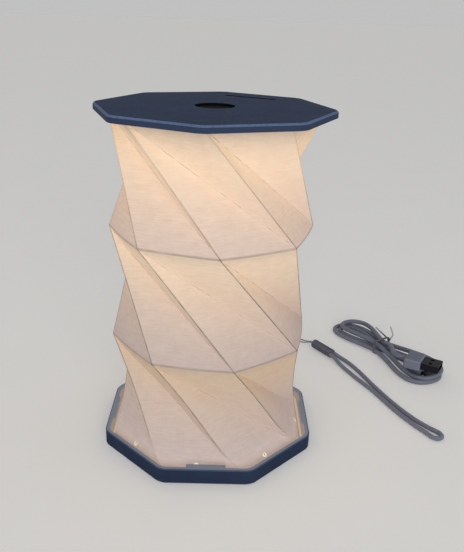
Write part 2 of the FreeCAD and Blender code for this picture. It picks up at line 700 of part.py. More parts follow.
def make_cable():
    diameter = size("cable_diameter")
    small_back = hank_point(size("small_plug_reach"), 0, size("small_plug_height") / 2)
    small_heading = hank_heading(1, 0)
    plug_turn = math.radians(size("plug_angle"))
    plug_heading = hank_heading(math.cos(plug_turn), math.sin(plug_turn))
    rest = diameter + size("layer_step") + size("plug_rest_gap")
    plug_back = hank_point(size("plug_reach"), size("plug_side"), rest + size("plug_height") / 2)

    edges = []
    enter, heading, _, _ = hank_quarter(0)
    lead = small_back - small_heading * diameter
    edges.append(Part.LineSegment(small_back, lead).toShape())
    edges += biarc(lead, -small_heading, enter, heading, (lead - enter).Length / 3)
    for q in range(QUARTERS):
        start, heading, start_size, start_reach = hank_quarter(q)
        end, end_heading, end_size, end_reach = hank_quarter(q + 1)
        if q % 2:
            edges += biarc(start, heading, end, end_heading, lobe_reach(start_size, end_size, start_reach))
        else:
            back = biarc(end, -end_heading, start, -heading, lobe_reach(end_size, start_size, end_reach))
            edges += [edge.reversed() for edge in reversed(back)]
    leave, heading, _, _ = hank_quarter(QUARTERS)
    crossing_turn = math.radians(size("lead_crossing_angle"))
    crossing = hank_point(size("lead_crossing_reach"), size("lead_crossing_side"),
                          leave.z + size("lead_crossing_lift") - size("lead_lift"))
    crossing_heading = hank_heading(math.cos(crossing_turn), math.sin(crossing_turn))
    lead = plug_back - plug_heading * diameter
    edges += biarc(leave, heading, crossing, crossing_heading, (crossing - leave).Length / 2)
    edges += biarc(crossing, crossing_heading, lead, plug_heading, (lead - crossing).Length / 2)
    edges.append(Part.LineSegment(lead, plug_back).toShape())
    path = Part.Wire(edges)
    tube("charging_cable", path, diameter)
    print(f"charging_cable: least gap to itself {least_gap(path, diameter):.2f} mm")
    make_plugs(plug_back, size("hank_angle") + size("plug_angle"), small_back)


def plug_box(name, low_x, length, width, height, middle_z="0"):
    """Block along X from a plug's back, centred on the cable."""
    return box(name, f"{low_x} + ({length}) / 2", "0", f"({middle_z}) - ({height}) / 2", length, width,
               f"({middle_z}) + ({height}) / 2")


def make_plugs(plug_back, plug_angle, small_back):
    length = "sizes.plug_length"
    grip = softened(plug_box("plug_grip", "0", length, "sizes.plug_width", "sizes.plug_height"),
                    size("plug_rounding"))
    shell = rounded(plug_box("plug_shell_outer", length, "sizes.plug_shell_length", "sizes.plug_shell_width",
                             "sizes.plug_shell_height"), size("plug_shell_rounding"), Vector(1, 0, 0))
    room = plug_box("plug_shell_room", length, f"sizes.plug_shell_length + {OVERCUT}",
                    "sizes.plug_shell_width - 2 * sizes.plug_shell_wall",
                    "sizes.plug_shell_height - 2 * sizes.plug_shell_wall")
    tongue_height = "(sizes.plug_shell_height - 2 * sizes.plug_shell_wall)"
    tongue = plug_box("plug_tongue_bar", length, "sizes.plug_shell_length - 2 * sizes.plug_shell_wall",
                      "sizes.plug_shell_width - 2 * sizes.plug_shell_wall", "sizes.plug_tongue_height",
                      f"({tongue_height} - sizes.plug_tongue_height) / 2")
    window_middle = f"({length} + sizes.plug_window_reach)"
    windows = [box(f"plug_window_{name}", window_middle, f"{sign}sizes.plug_window_spread / 2",
                   "-sizes.plug_shell_height", "sizes.plug_window_side", "sizes.plug_window_side",
                   "sizes.plug_shell_height") for name, sign in (("right", "-"), ("left", ""))]
    hollow = cut("plug_shell", shell, [room] + windows)
    pieces = [node(grip, "usb_a_grip"), node(hollow, "usb_a_shell"),
              node(group("plug_tongue", [tongue]), "usb_a_tongue")]
    for piece in pieces:
        piece.Placement = FreeCAD.Placement(plug_back, FreeCAD.Rotation(UP, plug_angle))

    small_length = "sizes.small_plug_length"
    small_grip = softened(plug_box("small_plug_grip", "0", small_length, "sizes.small_plug_width",
                                   "sizes.small_plug_height"), size("plug_rounding"))
    small_shell = rounded(plug_box("small_shell_outer", small_length, "sizes.small_shell_length",
                                   "sizes.small_shell_width", "sizes.small_shell_height"),
                          size("plug_shell_wall"), Vector(1, 0, 0))
    for piece in (node(small_grip, "micro_usb_grip"), node(small_shell, "micro_usb_shell")):
        piece.Placement = FreeCAD.Placement(small_back, FreeCAD.Rotation(UP, size("hank_angle")))


# Tie: a flat band round the waist of the hank, with two free wire ends at its far side. The ends'
# bends are measured from the twist, along and across the hank and up.
TIE_ENDS = [
    [(-15.0, 1.6, 3.0)],
    [(0.0, 4.1, 2.0), (-6.5, 7.6, 5.5)],
]


def make_tie():
    diameter = size("cable_diameter")
    thickness = size("tie_thickness")
    outer_strand = hank_quarter(QUARTERS // 2 - 1)[2]
    room_half = outer_strand + diameter / 2 + size("tie_clearance")
    room_top = thickness + 2 * size("tie_clearance") + diameter + size("layer_step") + size("lead_lift")

    def band(half, low, high, radius):
        corner = Vector(-size("tie_width") / 2, -half, low)
        block = Part.makeBox(size("tie_width"), 2 * half, high - low, corner)
        return block.makeFillet(radius, [edge for edge in block.Edges if along(edge, Vector(1, 0, 0))])

    rounding = size("tie_rounding")
    ring = band(room_half + thickness, 0, room_top + thickness, rounding)
    ring = ring.cut(band(room_half, thickness, room_top, rounding - thickness))
    wire = size("tie_wire_diameter")
    twist = Vector(0, room_half + thickness, room_top - rounding)
    ends = [eased([twist] + [twist + Vector(*bend) for bend in bends])[0] for bends in TIE_ENDS]
    tie = doc.addObject("Part::Feature", "cable_tie")
    side = Vector(size("tie_width") / 2, 0, 0)
    knot = Part.makeCylinder(wire, size("tie_width"), twist - side, side)
    tie.Shape = ring.multiFuse([swept(path, wire) for path in ends] + [knot])
    tie.Placement = FreeCAD.Placement(hank_point(0, 0, 0), hank_turn())
    node(tie, "cable_tie")


# Wrist strap: a looped cord and a thin thread loop, held by a sleeve between them. Each loop is given
# by the points of its two strands on the table, from the sleeve to the far end.
CORD_FRONT = [
    (90.2, 64.6), (95.3, 51.6), (100.9, 39.9), (106.9, 27.6), (112.9, 14.7), (118.5, 3.8), (122.8, -3.2),
    (127.0, -10.2), (131.2, -15.2),
]
CORD_BACK = [
    (93.2, 70.3), (98.6, 58.2), (104.2, 42.6), (109.9, 29.8), (115.5, 17.4), (121.0, 6.6), (125.8, -0.8),
    (131.8, -6.2), (136.0, -11.2),
]
THREAD_FRONT = [(66.4, 103.0), (61.5, 105.9), (54.6, 108.8), (47.8, 110.7), (41.4, 111.6)]
THREAD_BACK = [(68.6, 105.0), (63.3, 109.4), (56.1, 113.6), (48.9, 116.6), (42.4, 117.8)]


def loop_route(mouth, heading, spread, lead, height, right, left):
    """Route out of a sleeve end along its right strand, round the far end and back along the left one."""
    across = UP.cross(heading)
    route = []
    for side, strand in ((1, right), (-1, left)):
        start = mouth - across * (side * spread / 2)
        points = [start, start + heading * lead] + [Vector(x, y, height) for x, y in strand]
        route += points if side > 0 else points[::-1]
    return route


def make_strap():
    heading = FreeCAD.Rotation(UP, size("sleeve_angle")).multVec(Vector(1, 0, 0))
    mouth = Vector(size("sleeve_x"), size("sleeve_y"), size("sleeve_radius"))
    tail = mouth - heading * size("sleeve_length")
    diameter = size("strap_diameter")
    route = loop_route(mouth, heading, diameter + size("strap_gap"), size("sleeve_lead"),
                       diameter / 2 + size("table_gap"), CORD_FRONT, CORD_BACK)
    path = cord("strap_cord", route, diameter)
    print(f"strap_cord: least gap to itself {least_gap(path, diameter):.2f} mm")
    thread = size("thread_diameter")
    route = loop_route(tail, -heading, thread + size("thread_gap"), size("thread_lead"),
                       thread / 2 + size("table_gap"), THREAD_BACK, THREAD_FRONT)
    cord("strap_thread", route, thread)
    barrel = doc.addObject("Part::Cylinder", "sleeve_barrel")
    barrel.setExpression("Radius", "sizes.sleeve_radius")
    barrel.setExpression("Height", "sizes.sleeve_length")
    sleeve = node(group("sleeve", [barrel]), "strap_sleeve")
    sleeve.Placement = FreeCAD.Placement(mouth, FreeCAD.Rotation(UP, tail - mouth))


make_base_tray()
make_cover()
make_reflector()
make_light_engine()
make_electronics()
make_button()
make_shade()
make_lid()
make_cable()
make_tie()
make_strap()
doc.recompute()

failed = [item.Name for item in doc.Objects if {"Invalid", "Error"} & set(item.State)]
failed += [piece.Label for piece in nodes if piece.Shape.isNull() or not piece.Shape.isValid()]
if failed:
    raise RuntimeError("failed: " + ", ".join(failed))

os.makedirs("parts", exist_ok=True)
for piece in nodes:
    piece.Shape.exportStep(f"parts/{piece.Label}.step")
    print(f"{piece.Label}: {len(piece.Shape.Solids)} solids, {piece.Shape.Volume:.1f} mm3")
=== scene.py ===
import math

import bpy
import numpy as np
from mathutils import Matrix, Vector


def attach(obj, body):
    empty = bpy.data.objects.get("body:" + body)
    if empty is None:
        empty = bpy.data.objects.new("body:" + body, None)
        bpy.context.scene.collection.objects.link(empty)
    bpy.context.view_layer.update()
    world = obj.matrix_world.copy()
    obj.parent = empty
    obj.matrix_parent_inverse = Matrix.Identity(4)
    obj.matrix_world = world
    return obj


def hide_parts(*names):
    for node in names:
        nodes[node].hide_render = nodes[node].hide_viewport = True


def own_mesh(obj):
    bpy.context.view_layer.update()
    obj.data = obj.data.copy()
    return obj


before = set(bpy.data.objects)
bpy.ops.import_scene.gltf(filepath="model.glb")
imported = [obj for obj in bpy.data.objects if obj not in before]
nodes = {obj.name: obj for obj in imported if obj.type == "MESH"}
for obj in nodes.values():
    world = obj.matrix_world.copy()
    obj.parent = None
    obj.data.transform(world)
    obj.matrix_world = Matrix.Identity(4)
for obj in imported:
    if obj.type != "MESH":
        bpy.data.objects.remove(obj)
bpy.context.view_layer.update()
mm = 0.001
print("frame loaded:", len(nodes), "nodes")


# sRGB hex to linear colour
def linear(hexText):
    srgb = np.array([int(hexText[i:i + 2], 16) for i in (1, 3, 5)]) / 255
    rgb = np.where(srgb <= 0.04045, srgb / 12.92, ((srgb + 0.055) / 1.055) ** 2.4)
    return (*rgb.tolist(), 1.0)


# two stops of a colour ramp; most values of a noise texture lie between 0.3 and 0.7
def twoTone(dark, light, ends=(0.3, 0.7)):
    return [(place, linear(colour)) for place, colour in zip(ends, (dark, light))]


# links colours and values to the sockets of a node
def join(tree, node, links):
    for key, source in links.items():
        tree.links.new(source, node.inputs[key])


# one shader node: settings go to its input sockets, to a colour ramp's stops or to the node itself
def add(tree, kind, settings=None, links=None):
    node = tree.nodes.new("ShaderNode" + kind)
    for key, value in (settings or {}).items():
        if key == "stops":
            elements = node.color_ramp.elements
            for _ in value[2:]:
                elements.new(1.0)
            for stop, (place, colour) in zip(elements, value):
                stop.position, stop.color = place, colour
        elif isinstance(key, int) or key in node.inputs:
            node.inputs[key].default_value = value
        else:
            setattr(node, key, value)
    join(tree, node, links or {})
    return node


# settings are for the sockets of the material's one shader
def newMaterial(name, settings=None):
    material = bpy.data.materials.new(name)
    material.use_nodes = True
    tree = material.node_tree
    tree.nodes.clear()
    shader = add(tree, "BsdfPrincipled", settings)
    add(tree, "OutputMaterial", {}, {"Surface": shader.outputs["BSDF"]})
    return material, tree, shader


# quads of a grid of rows by columns, with the last column joined to the first
def gridFaces(rows, columns):
    low = np.arange(rows - 1)[:, None] * columns
    high = low + columns
    left = np.arange(columns)[None, :]
    right = (left + 1) % columns
    return np.stack([low + left, low + right, high + right, high + left], -1).reshape(-1, 4)


# flat coordinates at each face corner of that grid: across from columnPlaces, along from rowPlaces
def gridUv(columnPlaces, rowPlaces):
    u, v = np.meshgrid(columnPlaces, rowPlaces)
    uv = np.stack([u, v], -1)
    return np.stack([uv[:-1, :-1], uv[:-1, 1:], uv[1:, 1:], uv[1:, :-1]], 2).reshape(-1, 2)


def newPiece(name, points, faces, material, uv=None):
    mesh = bpy.data.meshes.new(name)
    mesh.from_pydata(points.reshape(-1, 3).tolist(), [], faces)
    if uv is not None:
        mesh.uv_layers.new(name="flat").data.foreach_set("uv", uv.astype(np.float32).ravel())
    mesh.polygons.foreach_set("use_smooth", [True] * len(mesh.polygons))
    mesh.materials.append(material)
    mesh.update()
    piece = bpy.data.objects.new(name, mesh)
    bpy.context.scene.collection.objects.link(piece)
    return piece


# camera fitted to the photograph: place in metres, turns in radians, focal length in pixels of its longer side
cameraFit = {"place": (0.00621, -0.33804, 0.22617), "yaw": 0.014, "pitch": 0.378, "roll": 0.032,
             "focal": 679.6, "longSide": 552, "sensor": 36.0, "clipStart": 0.01}


def makeCamera():
    yaw, pitch, roll = cameraFit["yaw"], cameraFit["pitch"], cameraFit["roll"]
    ahead = Vector((math.sin(yaw) * math.cos(pitch), math.cos(yaw) * math.cos(pitch), -math.sin(pitch)))
    level = Vector((math.cos(yaw), -math.sin(yaw), 0))
    upright = level.cross(ahead)
    right = level * math.cos(roll) + upright * math.sin(roll)
    up = upright * math.cos(roll) - level * math.sin(roll)
    data = bpy.data.cameras.new("camera")
    data.sensor_width = cameraFit["sensor"]
    data.lens = cameraFit["focal"] * cameraFit["sensor"] / cameraFit["longSide"]
    data.clip_start = cameraFit["clipStart"]
    camera = bpy.data.objects.new("camera", data)
    bpy.context.scene.collection.objects.link(camera)
    turn = Matrix((right, up, -ahead)).transposed()
    camera.matrix_world = Matrix.Translation(cameraFit["place"]) @ turn.to_4x4()
    bpy.context.scene.camera = camera


makeCamera()
print("camera set")


# points of a smooth line with the route as control points, evenly spaced by step
def smoothLine(route, step):
    curve = bpy.data.curves.new("route", "CURVE")
    curve.dimensions = "3D"
    curve.resolution_u = 40  # points between two control points, finer than any step asked for
    spline = curve.splines.new("NURBS")
    spline.points.add(len(route) - 1)
    spline.points.foreach_set("co", np.c_[route, np.ones(len(route))].ravel())
    spline.order_u = 3
    spline.use_endpoint_u = True
    holder = bpy.data.objects.new("route", curve)
    bpy.context.scene.collection.objects.link(holder)
    mesh = bpy.data.meshes.new_from_object(holder)
    line = np.empty(len(mesh.vertices) * 3)
    mesh.vertices.foreach_get("co", line)
    line = line.reshape(-1, 3)
    bpy.data.objects.remove(holder)
    bpy.data.curves.remove(curve)
    bpy.data.meshes.remove(mesh)
    along = np.r_[0, np.cumsum(np.linalg.norm(np.diff(line, axis=0), axis=1))]
    places = np.linspace(0, along[-1], int(along[-1] / step) + 2)
    return np.stack([np.interp(places, along, line[:, k]) for k in range(3)], 1), places


# tube round a line, closed at both ends: at each station a ring of radius(place, angle), set square to the line
def sweep(name, line, places, ring, radius, material):
    angles = np.arange(ring) * 2 * np.pi / ring
    heading = np.gradient(line, axis=0)
    heading /= np.linalg.norm(heading, axis=1, keepdims=True)
    side = np.cross(heading, [0, 0, 1])
    side /= np.linalg.norm(side, axis=1, keepdims=True)
    top = np.cross(side, heading)
    reach = radius(places[:, None], angles[None, :])[:, :, None]
    spokes = np.cos(angles)[None, :, None] * side[:, None, :] + np.sin(angles)[None, :, None] * top[:, None, :]
    points = line[:, None, :] + reach * spokes
    faces = gridFaces(len(line), ring)[:, ::-1].tolist()
    last = (len(line) - 1) * ring
    faces += [list(range(ring)), list(range(last + ring - 1, last - 1, -1))]
    around = np.arange(ring + 1) * 2 * np.pi / ring * reach.mean()
    uv = gridUv(around, places).reshape(-1, 4, 2)[:, ::-1].reshape(-1, 2)
    caps = np.zeros((2 * ring, 2))
    return newPiece(name, points, faces, material, np.r_[uv, caps])


# upright walls of a pierced plate: painted shade, nearly black, on the walls of the holes, and a paler painted
# highlight on the walls round its side
def paintedWallShading(tree, place, lean, body, wallShading):
    spread = add(tree, "VectorMath", {"operation": "MULTIPLY", 1: (1, 1, 0)}, {0: place}).outputs[0]
    spread = add(tree, "VectorMath", {"operation": "LENGTH"}, {0: spread}).outputs["Value"]
    within = add(tree, "Math", {"operation": "LESS_THAN", 1: wallShading["reach"] * mm}, {0: spread}).outputs[0]
    upright = add(tree, "Math", {"operation": "COMPARE", 1: 0.0, 2: 0.5}, {0: lean}).outputs[0]
    # painted highlight on the side walls outside the reach, painted shade on the hole and slot walls within it
    tones = {"Color1": linear(wallShading["side"]), "Color2": linear(wallShading["inside"])}
    tone = add(tree, "MixRGB", tones, {"Fac": within}).outputs[0]
    return add(tree, "MixRGB", {}, {"Fac": upright, "Color1": body, "Color2": tone}).outputs[0]


# the lamp's light on the tray: warm low inside the rim, cooler along its top and on the lips, none on the outside;
# how far out a place is: the largest of |x|, |y| and (|x| + |y|) / sqrt 2, which is even all round an octagon
def lampSpill(tree, place, normal, lit):
    parts = add(tree, "SeparateXYZ", {}, {0: place})
    height = parts.outputs["Z"]
    x, y = [add(tree, "Math", {"operation": "ABSOLUTE"}, {0: parts.outputs[axis]}).outputs[0] for axis in "XY"]
    slant = add(tree, "Math", {"operation": "ADD"}, {0: x, 1: y}).outputs[0]
    slant = add(tree, "Math", {"operation": "MULTIPLY", 1: math.sqrt(0.5)}, {0: slant}).outputs[0]
    flat = add(tree, "Math", {"operation": "MAXIMUM"}, {0: x, 1: y}).outputs[0]
    reach = add(tree, "Math", {"operation": "MAXIMUM"}, {0: flat, 1: slant}).outputs[0]
    spill = add(tree, "MapRange", {"From Min": lit["full"] * mm, "From Max": lit["gone"] * mm,
                                   "To Min": 1.0, "To Max": 0.0}, {"Value": reach}).outputs[0]
    # faces that look outward get none, apart from the lips
    level = add(tree, "VectorMath", {"operation": "MULTIPLY", 1: (1, 1, 0)}, {0: place}).outputs[0]
    outward = add(tree, "VectorMath", {"operation": "DOT_PRODUCT"}, {0: normal, 1: level}).outputs["Value"]
    inward = add(tree, "Math", {"operation": "LESS_THAN", 1: lit["outward"] * mm}, {0: outward}).outputs[0]
    lips = add(tree, "Math", {"operation": "LESS_THAN", 1: lit["lips"] * mm}, {0: reach}).outputs[0]
    inward = add(tree, "Math", {"operation": "MAXIMUM"}, {0: inward, 1: lips}).outputs[0]
    above = add(tree, "Math", {"operation": "GREATER_THAN", 1: lit["low"] * mm}, {0: height}).outputs[0]
    for share in (inward, above):
        spill = add(tree, "Math", {"operation": "MULTIPLY"}, {0: spill, 1: share}).outputs[0]
    rise = add(tree, "MapRange", {"From Min": lit["low"] * mm, "From Max": lit["high"] * mm},
               {"Value": height}).outputs[0]
    glow = add(tree, "ValToRGB", {"stops": twoTone(lit["warm"], lit["cool"], (0.5, 0.9))}, {"Fac": rise}).outputs[0]
    return {"Emission Color": glow, "Emission Strength": spill}


# moulded ABS: satin, with a fine spark-eroded mould texture and a painted highlight on the bevels, broken up by the
# grain
def mouldedAbs(name, dark, light, edge, roughness, grit, lit=None, wallShading=None):
    material, tree, shader = newMaterial(name, {"IOR": 1.53, "Specular IOR Level": 0.08})
    place = add(tree, "TexCoord").outputs["Object"]
    cloud = add(tree, "TexNoise", {"Scale": 1 / (22 * mm), "Detail": 4.0, "Roughness": 0.6},
                {"Vector": place}).outputs["Fac"]
    body = add(tree, "ValToRGB", {"stops": twoTone(dark, light, (0.3, 0.72))}, {"Fac": cloud}).outputs[0]
    # about 0.4 mm on the real one, drawn coarser so that it shows
    grain = add(tree, "TexNoise", {"Scale": 1 / grit, "Detail": 4.0, "Roughness": 0.65},
                {"Vector": place}).outputs["Fac"]
    # a bevel is a face that leans half way: its normal's height is about 0.7
    normal = add(tree, "NewGeometry").outputs["Normal"]
    lean = add(tree, "SeparateXYZ", {}, {0: normal}).outputs["Z"]
    bevel = add(tree, "Math", {"operation": "COMPARE", 1: 0.68, 2: 0.24}, {0: lean}).outputs[0]
    # painted highlight: faces that lean like a bevel are painted paler where the grain is high
    paintedBevelLight = add(tree, "MapRange", {"From Min": 0.25, "From Max": 0.6, "To Min": 0.55, "To Max": 1.0},
                 {"Value": grain}).outputs[0]
    paintedBevelLight = add(tree, "Math", {"operation": "MULTIPLY"}, {0: bevel, 1: paintedBevelLight}).outputs[0]
    body = add(tree, "MixRGB", {"Color2": linear(edge)}, {"Fac": paintedBevelLight, "Color1": body}).outputs[0]
    if wallShading:
        body = paintedWallShading(tree, place, lean, body, wallShading)
    gloss = add(tree, "MapRange", {"From Min": 0.3, "From Max": 0.7, "To Min": roughness - 0.06,
                                   "To Max": roughness + 0.07}, {"Value": grain}).outputs[0]
    bump = add(tree, "Bump", {"Strength": 0.35, "Distance": 0.08 * mm}, {"Height": grain}).outputs["Normal"]
    join(tree, shader, {"Base Color": body, "Roughness": gloss, "Normal": bump})
    if lit:
        join(tree, shader, lampSpill(tree, place, normal, lit))
    return material


# TPE cable jacket: extruded soft plastic, satin, with a faint unevenness of the die
def cableJacket():
    material, tree, shader = newMaterial("tpeCableJacket", {"Roughness": 0.48})
    place = add(tree, "TexCoord").outputs["Object"]
    blotch = add(tree, "TexNoise", {"Scale": 1 / (6 * mm), "Detail": 3.0}, {"Vector": place}).outputs["Fac"]
    body = add(tree, "ValToRGB", {"stops": twoTone("#727688", "#808496")}, {"Fac": blotch}).outputs[0]
    grain = add(tree, "TexNoise", {"Scale": 1 / (0.7 * mm), "Detail": 2.0}, {"Vector": place}).outputs["Fac"]
    bump = add(tree, "Bump", {"Strength": 0.25, "Distance": 0.05 * mm}, {"Height": grain}).outputs["Normal"]
    join(tree, shader, {"Base Color": body, "Normal": bump})
    return material


# braided polyester cord: yarns of the width given cross on the slant; the colour runs from painted shade in the gaps
# to paler yarn tops
def braidedCord(name, light, dark, yarn):
    material, tree, shader = newMaterial(name, {"Roughness": 0.8, "Sheen Weight": 0.25})
    flat = add(tree, "UVMap", {"uv_map": "flat"}).outputs["UV"]
    scale = 2 * math.pi / (20 * yarn)  # a band of the wave texture is 2 pi / (20 scale) wide
    waves = []
    for slant in (38, -38):
        spun = add(tree, "Mapping", {"Rotation": (0, 0, math.radians(slant))}, {"Vector": flat}).outputs["Vector"]
        wave = add(tree, "TexWave", {"Scale": scale, "Distortion": 0.4, "Detail": 1.0}, {"Vector": spun})
        waves.append(wave.outputs["Fac"])
    relief = add(tree, "Math", {"operation": "MAXIMUM"}, {0: waves[0], 1: waves[1]}).outputs[0]
    # painted shade: darker where the relief is low, in the gaps between the yarns
    body = add(tree, "ValToRGB", {"stops": twoTone(dark, light, (0.25, 0.85))}, {"Fac": relief}).outputs[0]
    bump = add(tree, "Bump", {"Strength": 0.6, "Distance": 0.12 * mm}, {"Height": relief}).outputs["Normal"]
    join(tree, shader, {"Base Color": body, "Normal": bump})
    return material


jacket = cableJacket()
cordBraid = braidedCord("braidedPolyesterCord", "#8a8ea1", "#5a5e6f", 0.9 * mm)
threadBraid = braidedCord("braidedThread", "#a6a8b1", "#74767f", 0.4 * mm)
greyAbs = mouldedAbs("greyMouldedAbs", "#595c68", "#636774", "#6f7380", 0.6, 0.9 * mm)

# hank: u along it from the waist, v across it, in mm; winds outwards low down, climbs, winds back inwards above
hank = {"place": (120.0, 93.0), "angle": -56.2, "cable": 3.2, "length": 0.58, "ring": 18, "step": 1.0,
        "quarters": 10, "perQuarter": 5, "lobe": 14.0, "lobePitch": 3.75, "leftReach": 31.0, "rightReach": 38.0,
        "waistTurns": 1.5, "waistPitch": 3.9, "pinch": 1.5, "fullness": 1.04,
        "full": [0.75, 0.65, 1.0, 1.45, 0.75, 0.9, 1.0, 1.1, 1.0, 1.0],
        "fan": [1.0, 0.0, 0.0, 1.6, 5.0], "fanTurn": [2.2, 2.2, 2.2, 3.1, 2.2],
        "waistLow": 2.45, "waistLift": 0.85, "layer": 3.75, "climb": (5.4, 6.3), "exitLift": 1.5,
        "sag": 0.8, "sagQuarter": 7,
        "smallRoute": [(26.0, 0.0, 3.1), (22.0, 0.0, 3.1), (15.0, -0.2, 2.9), (7.0, -0.7, 2.6)],
        "plugRoute": [(5.5, 0.4, 8.5), (10.5, -2.0, 9.8), (15.0, -5.6, 10.8), (20.5, -10.2, 11.15),
                      (26.5, -10.3, 11.15), (30.5, -8.4, 11.15)]}


def hankPlace(u, v, z):
    turn = math.radians(hank["angle"])
    x = hank["place"][0] + u * math.cos(turn) - v * math.sin(turn)
    y = hank["place"][1] + u * math.sin(turn) + v * math.cos(turn)
    return np.stack([x, y, z], -1) * mm


# quarter turns q count round a pinched oval: u = -(reach + lobe) sin, v = -cos (waist + belly |sin|^pinch),
# where the belly gives the lobe its round end, and lobe and waist shrink by a pitch a turn towards both ends;
# loose lobes differ: each quarter is fuller or slimmer by its own share, each lobe swings aside by
# fan sin(fanTurn |sin|), one strand sags to the table, and the last half quarter lifts towards the plug
def hankTurns():
    q = np.linspace(0, hank["quarters"], hank["quarters"] * hank["perQuarter"] + 1)
    wind = (hank["quarters"] / 2 - np.minimum(q, hank["quarters"] - q)) / 4
    turn = q * np.pi / 2
    s, c = np.sin(turn), np.cos(turn)
    reach = np.where(s > 0, hank["leftReach"], hank["rightReach"])
    lobe = hank["lobe"] - wind * hank["lobePitch"]
    waist = (hank["waistTurns"] - wind) * hank["waistPitch"]
    belly = hank["fullness"] * np.sqrt(lobe * (reach + lobe)) - waist
    quarterOf = np.minimum(q, hank["quarters"] - 1).astype(int)
    fan, fanTurn = (np.array(hank[key])[quarterOf // 2] for key in ("fan", "fanTurn"))
    belly *= np.array(hank["full"])[quarterOf]
    u = -(reach + lobe) * s
    v = -c * (waist + belly * np.abs(s) ** hank["pinch"]) + fan * np.sin(fanTurn * np.abs(s))
    climb = np.clip((q - hank["climb"][0]) / (hank["climb"][1] - hank["climb"][0]), 0, 1)
    layer = climb - hank["sag"] * np.sin(np.pi * np.clip(q - hank["sagQuarter"], 0, 1))
    z = hank["waistLow"] - hank["waistLift"] * s ** 2 + hank["layer"] * layer
    z += hank["exitLift"] * np.clip(2 * (q - hank["quarters"]) + 1, 0, 1)
    return hankPlace(u, v, z)


def makeCable():
    small, plug = (hankPlace(*np.array(hank[key]).T) for key in ("smallRoute", "plugRoute"))
    line, places = smoothLine(np.r_[small, hankTurns(), plug], hank["step"] * mm)
    half = hank["cable"] / 2 * mm
    cable = sweep("chargingCable", line, places, hank["ring"], lambda s, a: half + 0 * s * a, jacket)
    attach(cable, "base")
    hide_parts("charging_cable")
    print("cable length", round(places[-1], 4))


makeCable()

# sleeve of the wrist strap, in mm; the grooves' places are shares of its length
sleeveShape = {"mouth": (83.5, 81.7), "angle": -55.4, "half": 3.1, "length": 19.0, "rows": 57, "ring": 40,
               "endLength": 0.9, "endDrop": 0.55, "grooves": (0.2, 0.5, 0.8), "grooveHalf": 0.5, "grooveDepth": 0.16}
sleeveTurn = math.radians(sleeveShape["angle"])
sleeveHeading = np.array([math.cos(sleeveTurn), math.sin(sleeveTurn), 0])
sleeveMouth = np.array([*sleeveShape["mouth"], sleeveShape["half"]])
sleeveTail = sleeveMouth - sleeveHeading * sleeveShape["length"]


# barrel with quarter-round ends and shallow crimp grooves, each a dip of exp(-(distance / half width)^2)
def makeSleeve():
    length = sleeveShape["length"] * mm
    places = np.linspace(0, length, sleeveShape["rows"])
    line = sleeveMouth * mm - places[:, None] * sleeveHeading

    def barrel(s, a):
        end = np.clip(np.minimum(s, length - s) / (sleeveShape["endLength"] * mm), 0, 1)
        grooveHalf = sleeveShape["grooveHalf"] * mm
        groove = sum(np.exp(-((s - share * length) / grooveHalf) ** 2) for share in sleeveShape["grooves"])
        drop = sleeveShape["endDrop"] * (1 - np.sqrt(1 - (1 - end) ** 2)) + sleeveShape["grooveDepth"] * groove
        return (sleeveShape["half"] - drop) * mm + 0 * a

    sleeve = sweep("strapSleeve", line, places, sleeveShape["ring"], barrel, greyAbs)
    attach(sleeve, "base")
    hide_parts("strap_sleeve")
    return sleeve


# loops of the wrist strap: points of each strand on the table from the sleeve to the far end, in mm
cordShape = {"width": 2.8, "spread": 3.3, "lead": 3.0, "lift": 0.1, "length": 0.219, "ring": 32, "step": 0.35,
             "yarns": 4, "yarnLay": 0.62, "yarnDepth": 0.045,
             "right": [(87.5, 69.4), (91.2, 61.0), (94.9, 52.9), (98.7, 45.4), (102.4, 38.4), (105.8, 30.6),
                       (109.0, 22.4), (112.8, 13.6), (117.0, 5.0), (120.8, -1.6), (124.0, -6.6), (125.9, -9.4),
                       (127.6, -12.9), (130.7, -14.3)],
             "left": [(89.2, 79.2), (92.8, 74.0), (96.2, 66.8), (99.1, 59.6), (101.8, 51.6), (104.6, 43.4),
                      (107.6, 35.4), (111.4, 25.8), (115.6, 16.6), (119.6, 8.8), (124.0, 1.8), (127.4, -2.4),
                      (130.1, -5.4), (133.2, -8.4), (133.7, -12.1)]}
threadShape = {"width": 0.9, "spread": 1.7, "lead": 3.0, "lift": 0.1, "length": 0.078, "ring": 14, "step": 0.3,
               "plyLay": 0.9, "plyDepth": 0.12,
               "right": [(68.6, 105.0), (63.3, 109.4), (56.1, 113.6), (48.9, 116.6), (42.4, 117.8)],
               "left": [(66.4, 103.0), (61.5, 105.9), (54.6, 108.8), (47.8, 110.7), (41.4, 111.6)]}


# out of a sleeve end along its right strand, round the far end and back along the left one
def loopLine(mouth, heading, shape):
    across = np.cross([0, 0, 1], heading)
    height = shape["width"] / 2 + shape["lift"]
    strands = []
    for side, key in ((1, "right"), (-1, "left")):
        start = mouth - across * side * shape["spread"] / 2
        strands.append(np.r_[[start, start + heading * shape["lead"]], [(x, y, height) for x, y in shape[key]]])
    return smoothLine(np.r_[strands[0], strands[1][::-1]] * mm, shape["step"] * mm)


# braid relief: the higher of two yarn families that wind opposite ways round the cord
def braidRadius(s, a):
    wind, depth = s / (cordShape["yarnLay"] * mm), cordShape["yarnDepth"]
    yarns = np.maximum(np.cos(cordShape["yarns"] * a + wind), np.cos(cordShape["yarns"] * a - wind))
    return cordShape["width"] / 2 * mm * (1 - depth + depth * yarns)


# two plies wind round each other: the section is a rounded pair that turns along the thread
def plyRadius(s, a):
    plies = np.cos(2 * (a + s / (threadShape["plyLay"] * mm)))
    return threadShape["width"] / 2 * mm * (1 - threadShape["plyDepth"] + threadShape["plyDepth"] * plies)


